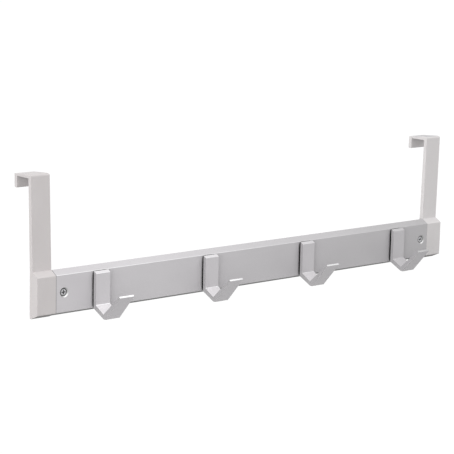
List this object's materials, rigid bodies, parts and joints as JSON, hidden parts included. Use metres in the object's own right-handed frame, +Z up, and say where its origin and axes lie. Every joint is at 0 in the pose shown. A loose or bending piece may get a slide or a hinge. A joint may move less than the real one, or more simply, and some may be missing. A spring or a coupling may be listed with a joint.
{
  "type": "over door hook",
  "caption": "Over-door hook rail: a bevelled aluminium rail hung from two moulded brackets that hook over the door's top edge, with V-shaped coat hooks along its front.",
  "frame": {"origin": "the door's top front edge, midway between the two brackets: in the plane of the straps' backs and of the tabs' undersides", "axes": "+X along the rail to the right of someone facing the door, +Y back through the door, +Z up"},
  "size_m": [0.574, 0.0833, 0.1471],
  "materials": {
    "aluminium": "satin anodised",
    "plastic": "satin off-white",
    "steel": "bright plated"
  },
  "bodies": {
    "root": {"rail": "aluminium", "bracket_left": "plastic", "bracket_right": "plastic", "rail_screw_left": "steel", "rail_screw_right": "steel", "hook_1": "aluminium", "hook_2": "aluminium", "hook_3": "aluminium", "hook_4": "aluminium", "hook_screw_1": "steel", "hook_screw_2": "steel", "hook_screw_3": "steel", "hook_screw_4": "steel"}
  },
  "joints": []
}
